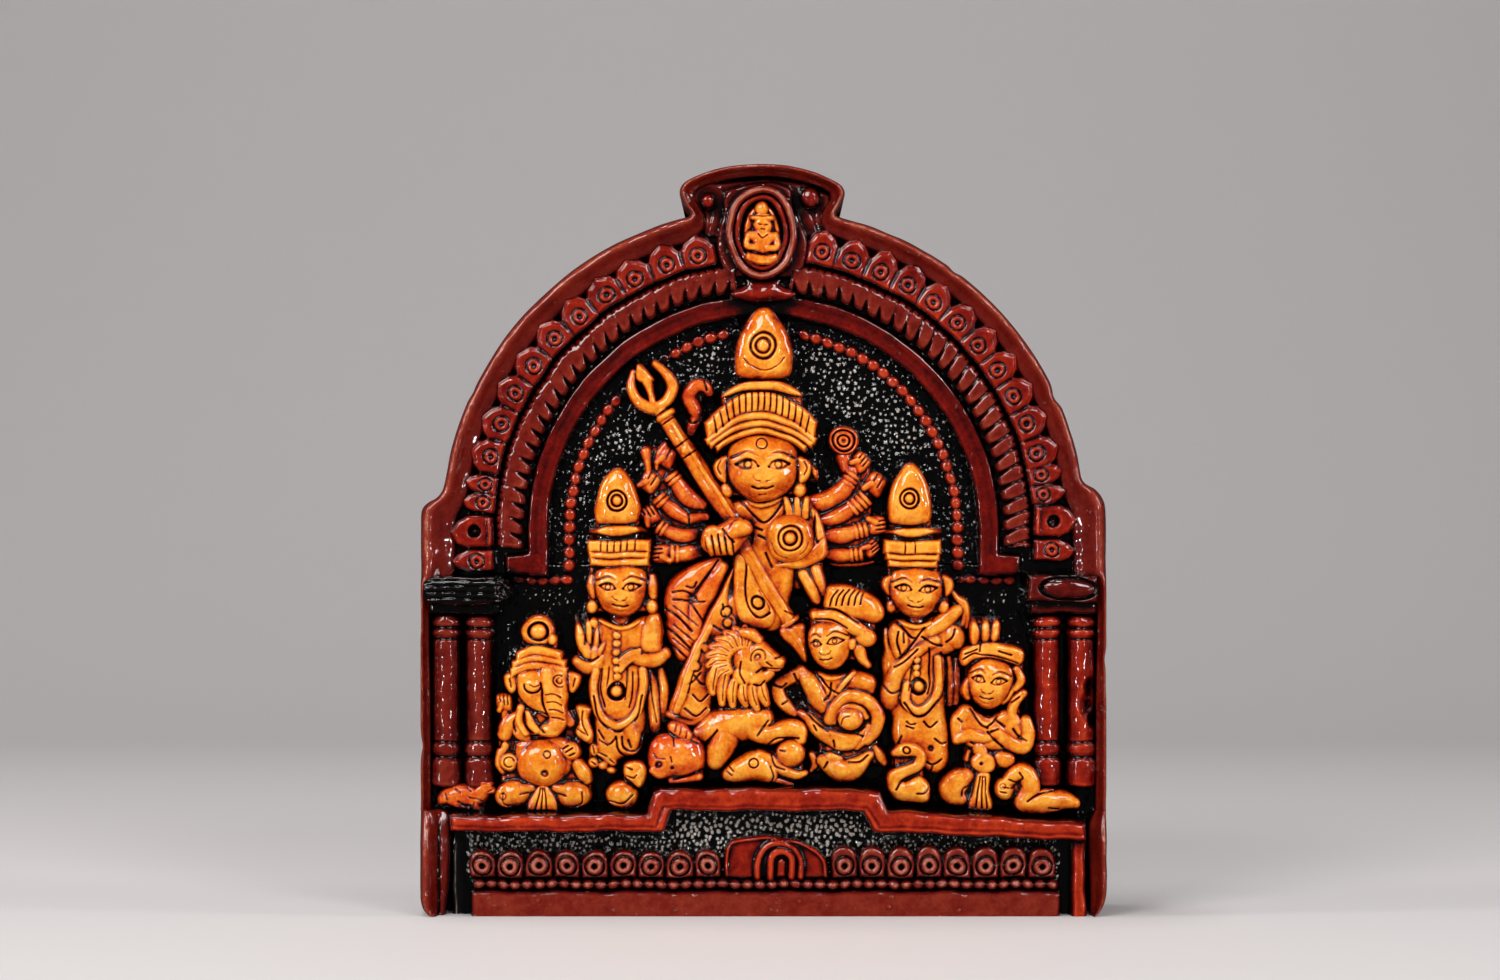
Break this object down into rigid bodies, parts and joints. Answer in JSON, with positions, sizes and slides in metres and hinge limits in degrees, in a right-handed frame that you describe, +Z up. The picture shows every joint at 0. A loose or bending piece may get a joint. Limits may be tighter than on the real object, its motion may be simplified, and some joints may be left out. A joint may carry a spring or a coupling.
{
  "type": "relief plaque figurine",
  "caption": "Arched relief plaque: a many-armed goddess on a lion, with attendant deities, in a columned frame on a petal-fronted plinth; moulded and painted clay.",
  "frame": {"origin": "centre of the bounding box, on the rest face (z = 0)", "axes": "+Z up, the relief faces -Y, +X to the viewer's right"},
  "size_m": [0.11, 0.021, 0.1203],
  "materials": {
    "clay_body": "fired clay, brushed with thin dark lacquer",
    "maroon_lacquer": "dark red paint under glossy lacquer, black in the recesses",
    "red_lacquer": "brick red paint under glossy lacquer",
    "black_lacquer": "glossy black paint",
    "orange_paint": "bright orange paint, dark wash in the grooves, glossy lacquer",
    "deep_orange_paint": "red-orange paint, dark wash in the grooves, glossy lacquer"
  },
  "bodies": {
    "root": {"back_slab": "clay_body", "arch_rim": "maroon_lacquer", "rope_moulding": "maroon_lacquer", "crest_block": "maroon_lacquer", "medallion_plate": "maroon_lacquer", "medallion_outer_ring": "maroon_lacquer", "column_left_outer": "maroon_lacquer", "column_left_inner": "maroon_lacquer", "pier_left": "maroon_lacquer", "pier_right": "maroon_lacquer", "plinth_base": "maroon_lacquer", "plinth_beads": "maroon_lacquer", "plinth_petals_left": "maroon_lacquer", "plinth_petals_right": "maroon_lacquer", "capital_right": "maroon_lacquer", "arch_plate": "red_lacquer", "petals_left": "red_lacquer", "petals_right": "red_lacquer", "scroll_left": "red_lacquer", "scroll_right": "red_lacquer", "medallion_inner_ring": "red_lacquer", "crest_bracket": "red_lacquer", "column_right_inner": "red_lacquer", "column_right_outer": "red_lacquer", "ledge": "red_lacquer", "plinth_motif": "red_lacquer", "bead_cord": "red_lacquer", "capital_left": "black_lacquer", "plinth_ground": "black_lacquer", "medallion_figure": "orange_paint", "durga_body": "orange_paint", "durga_head": "orange_paint", "durga_crown": "orange_paint", "durga_spire": "orange_paint", "durga_arms_left": "orange_paint", "durga_arms_right": "orange_paint", "durga_hand": "orange_paint", "trident": "orange_paint", "shield": "orange_paint", "lion": "orange_paint", "buffalo": "orange_paint", "demon_head": "orange_paint", "demon_body": "orange_paint", "lakshmi_body": "orange_paint", "lakshmi_head": "orange_paint", "owl": "orange_paint", "saraswati_body": "orange_paint", "saraswati_head": "orange_paint", "swan": "orange_paint", "ganesha_body": "orange_paint", "ganesha_head": "orange_paint", "kartikeya_body": "orange_paint", "kartikeya_head": "orange_paint", "peacock": "orange_paint", "durga_leg": "deep_orange_paint", "conch": "deep_orange_paint", "serpent": "deep_orange_paint", "buffalo_head": "deep_orange_paint", "mouse": "deep_orange_paint"}
  },
  "joints": []
}
